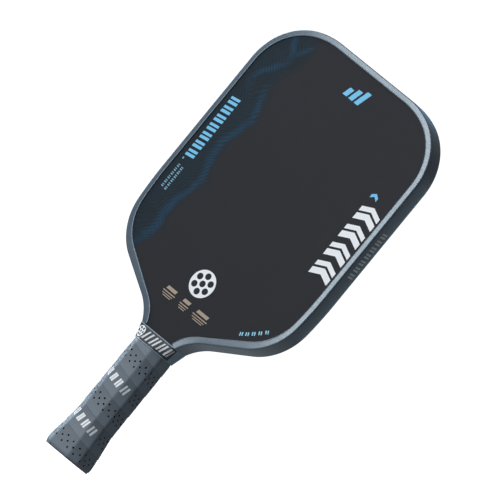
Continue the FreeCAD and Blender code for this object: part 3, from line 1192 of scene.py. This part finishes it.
def collar_marks(inks, panel_material):
    """The collar's dark front panel with two light lines, four pairs of slanted bars and a disc."""
    place = collar_sleeve(0).at
    left, right = COLLAR_PANEL_COLUMNS
    across = right - left
    low, high = COLLAR_START_Z + PANEL_MARGIN, COLLAR_END_Z - PANEL_MARGIN
    panel = patch(place, [(left, low), (right, low), (right - 3, high), (left + 2, high)],
                  PATCH_FOOT, PANEL_LIFT, across, PANEL_ROWS)
    mark("neck_band_panel", [panel], panel_material)
    line_lift = COLLAR_RIM + PANEL_LIFT
    lines = [patch(place, bar(left, right, z, z + LINE_WIDTH), PATCH_FOOT, line_lift, across, 2)
             for z in (COLLAR_START_Z + 0.30, COLLAR_END_Z - 0.70)]
    mark("neck_band_lines", lines, inks["line"])
    bars = [patch(place, corners, -0.05, 0.20, 8, PANEL_ROWS) for start, end in COLLAR_BLOCKS
            for corners in bar_pair(start, end, low + 1.7, high - 1.4, **COLLAR_BAR)]
    mark("neck_band_bars", bars, inks["silver"])
    mark("neck_band_motif", [small_motif(place, MOTIF_COLUMN, (low + high) / 2)], inks["white"])


def small_motif(place, column, z):
    """A small disc with seven round holes on the collar."""
    holes = [disc((0, 0), 1.0, 14)]
    holes += [disc(centre, 1.15, 14) for centre in disc((0, 0), MOTIF_HOLE_RING, 6)]
    return slab(disc((0, 0), MOTIF_RADIUS, 40), holes,
                lambda a, b, lift: place(column + a / COLLAR_COLUMN_WIDTH, z + b, lift), -0.05, 0.24)


# ======== Studio ========

CAMERA_AZIMUTH = radians(32.55)
CAMERA_ROLL = radians(39.32)
LENS_MM = 1500.0
SENSOR_MM = 36.0
FRAME_WIDTH = 410.3
AIM_SIDE = 8.82
AIM_Z = 227.52
FLOOR_REACH = 60000
# Each light: name, azimuth and elevation in degrees, distance and size in metres, watts and colour.
LIGHTS = (("key", -12, 2, 2.1, 1.0, 20.9, (0.93, 0.97, 1.0)),
          ("high_front", -26, 26, 2.1, 0.9, 16.0, (0.93, 0.97, 1.0)),
          ("high_left", -88, 24, 2.1, 1.2, 24.0, (0.88, 0.95, 1.0)),
          ("back_right", 166, 2, 2.2, 0.9, 2.9, (0.68, 0.87, 1.0)),
          ("back_left", 245, 12, 2.2, 1.2, 20.0, (0.78, 0.91, 1.0)))
# The world's light along an axis: its strength at -1, its strength at the end, and where the end is.
WORLD_RAMPS = (("X", 0.24, 0.075, 1.0), ("Z", 0.26, 0.0, 0.0))


def camera():
    """A long lens at the front right, level, and rolled so that the paddle leans to the right."""
    data = bpy.data.cameras.new("camera")
    data.lens = LENS_MM
    data.sensor_width = SENSOR_MM
    data.clip_start, data.clip_end = 0.1, 60.0
    distance = FRAME_WIDTH * MM * LENS_MM / SENSOR_MM
    sine, cosine = sin(CAMERA_AZIMUTH), cos(CAMERA_AZIMUTH)
    back = Vector((sine, -cosine, 0))
    aim = Vector((cosine, sine, 0)) * AIM_SIDE * MM + Vector((0, 0, AIM_Z * MM))
    obj = linked("camera", data)
    turned = (-back).to_track_quat("-Z", "Y").to_matrix() @ Matrix.Rotation(CAMERA_ROLL, 3, "Z")
    obj.matrix_world = Matrix.Translation(aim + back * distance) @ turned.to_4x4()
    scene.camera = obj


def soft_box(name, azimuth, elevation, distance, size, power, colour):
    """A square area light that faces the paddle's middle."""
    data = bpy.data.lights.new(name, "AREA")
    data.shape = "SQUARE"
    data.size = size
    data.energy = power
    data.color = colour
    a, e = radians(azimuth), radians(elevation)
    out = Vector((sin(a) * cos(e), -cos(a) * cos(e), sin(e)))
    obj = linked(name, data)
    obj.location = out * distance + Vector((0, 0, LENGTH / 2 * MM))
    obj.rotation_mode = "QUATERNION"
    obj.rotation_quaternion = (-out).to_track_quat("-Z", "Y")
    obj.visible_camera = False


def world():
    """White behind everything; as light, dimmer: weaker from the right, stronger from below."""
    made = bpy.data.worlds.new("studio")
    scene.world = made
    made.use_nodes = True
    made.node_tree.nodes.clear()
    n = Nodes(made.node_tree)
    output = n.node("OutputWorld")
    mix = n.node("MixShader")
    path = n.node("LightPath")
    seen = n.node("Background", {"Color": (1, 1, 1, 1), "Strength": 1.1})
    light = n.node("Background", {"Color": (0.90, 0.96, 1.0, 1)})
    split = n.node("SeparateXYZ")
    n.link(n.node("TexCoord").outputs["Generated"], split.inputs["Vector"])
    total = n.node("Math")
    for number, (axis, at_low, at_high, end) in enumerate(WORLD_RAMPS):
        sockets = {"From Min": -1.0, "From Max": end, "To Min": at_low, "To Max": at_high}
        ramp = n.node("MapRange", sockets)
        n.link(split.outputs[axis], ramp.inputs["Value"])
        n.link(ramp.outputs["Result"], total.inputs[number])
    n.link(total.outputs["Value"], light.inputs["Strength"])
    n.link(path.outputs["Is Camera Ray"], mix.inputs["Fac"])
    n.link(light.outputs["Background"], mix.inputs[1])
    n.link(seen.outputs["Background"], mix.inputs[2])
    n.link(mix.outputs["Shader"], output.inputs["Surface"])


def pale_floor():
    """A pale floor under the butt that runs out of sight."""
    s = Shader("studio_floor", (0.8, 0.8, 0.8, 1), 0.9, Specular_IOR_Level=0.0,
               Emission_Color=(1, 1, 1, 1), Emission_Strength=1.0)
    s.colour(s.mixed(s.noise(3, 2), (0.79, 0.79, 0.79, 1), (0.81, 0.81, 0.81, 1)))
    corners = [(x * FLOOR_REACH, y * FLOOR_REACH, 0) for x, y in ((-1, -1), (1, -1), (1, 1), (-1, 1))]
    obj = new_object("floor", corners, [(0, 1, 2, 3)], [s.material])
    obj.visible_diffuse = False
    obj.visible_glossy = False


def studio():
    """Camera, world, floor and lights."""
    scene.view_settings.view_transform = "Standard"
    scene.view_settings.look = "None"
    camera()
    world()
    pale_floor()
    for light in LIGHTS:
        soft_box(*light)


# ======== Assembly ========

CAP_EDGE = 0.7


def dress_frame():
    """Gives every CAD node that stays its own procedural material."""
    table = {"core_foam_block": foam_material("foam_block", (0.75, 0.74, 0.70, 1), 700),
             "core_foam_ring": foam_material("foam_ring", (0.12, 0.12, 0.13, 1), 500),
             "core_perimeter_band": foam_material("foam_dense", (0.05, 0.055, 0.06, 1), 1100),
             "handle_spine": foam_material("foam_spine", (0.62, 0.61, 0.57, 1), 700)}
    film = film_material("adhesive_film", (0.42, 0.38, 0.28, 1), 0.35, 120)
    glass = ply_material("glass_cloth", (0.58, 0.62, 0.60, 1), 240, 0.35)
    carbon = ply_material("carbon_cloth", (0.025, 0.026, 0.028, 1), 160, 0.4)
    tape = film_material("holding_tape", (0.030, 0.031, 0.034, 1), 0.5, 260)
    plastic = rubber_material("moulded_plastic", (0.055, 0.062, 0.070, 1), 0.42)
    for side, word in ((1, "front"), (-1, "back")):
        table[f"{word}_adhesive_film"] = film
        table[f"{word}_glass_ply"] = glass
        table[f"{word}_cross_ply"] = carbon
        table[f"{word}_face_sheet"] = face_material(f"raw_carbon_{word}", side)
        table[f"{word}_handle_pallet"] = plastic
    for name in ("edge_guard_tape", "grip_base_tape", "finishing_tape"):
        table[name] = tape
    for name in ("butt_cap", "butt_end_plate", "edge_guard", "grip_wrap", "rubber_collar"):
        table[name] = plastic
    table["grip_staple"] = steel_material()
    for name, obj in frame["nodes"].items():
        obj.data.materials.clear()
        obj.data.materials.append(table[name])


def round_cap():
    """Softens the butt cap's moulded edges."""
    bevel = frame["nodes"]["butt_cap"].modifiers.new("soft edges", "BEVEL")
    bevel.width = CAP_EDGE * MM
    bevel.segments = 3
    bevel.limit_method = "ANGLE"
    bevel.angle_limit = radians(35)


def build():
    """Dresses the CAD nodes and adds the new pieces."""
    dress_frame()
    round_cap()
    inks = {word: ink_material(f"ink_{word}", colour) for word, colour in INKS.items()}
    piece(edge_guard(guard_material()), ("edge_guard",))
    piece(grip_wrap(wrap_material(), hole_material()), ("grip_wrap",))
    collar = rubber_material("rubber_slate", (0.215, 0.290, 0.370, 1), 0.38)
    panel = rubber_material("rubber_charcoal", (0.030, 0.036, 0.046, 1), 0.50, 0.35)
    piece(rubber_collar(collar), ("rubber_collar",))
    collar_marks(inks, panel)
    tape_marks(inks)
    face_marks(inks)
    wall_mark(ink_material("raised_grey", (0.62, 0.66, 0.67, 1), 0.4))


studio()
build()
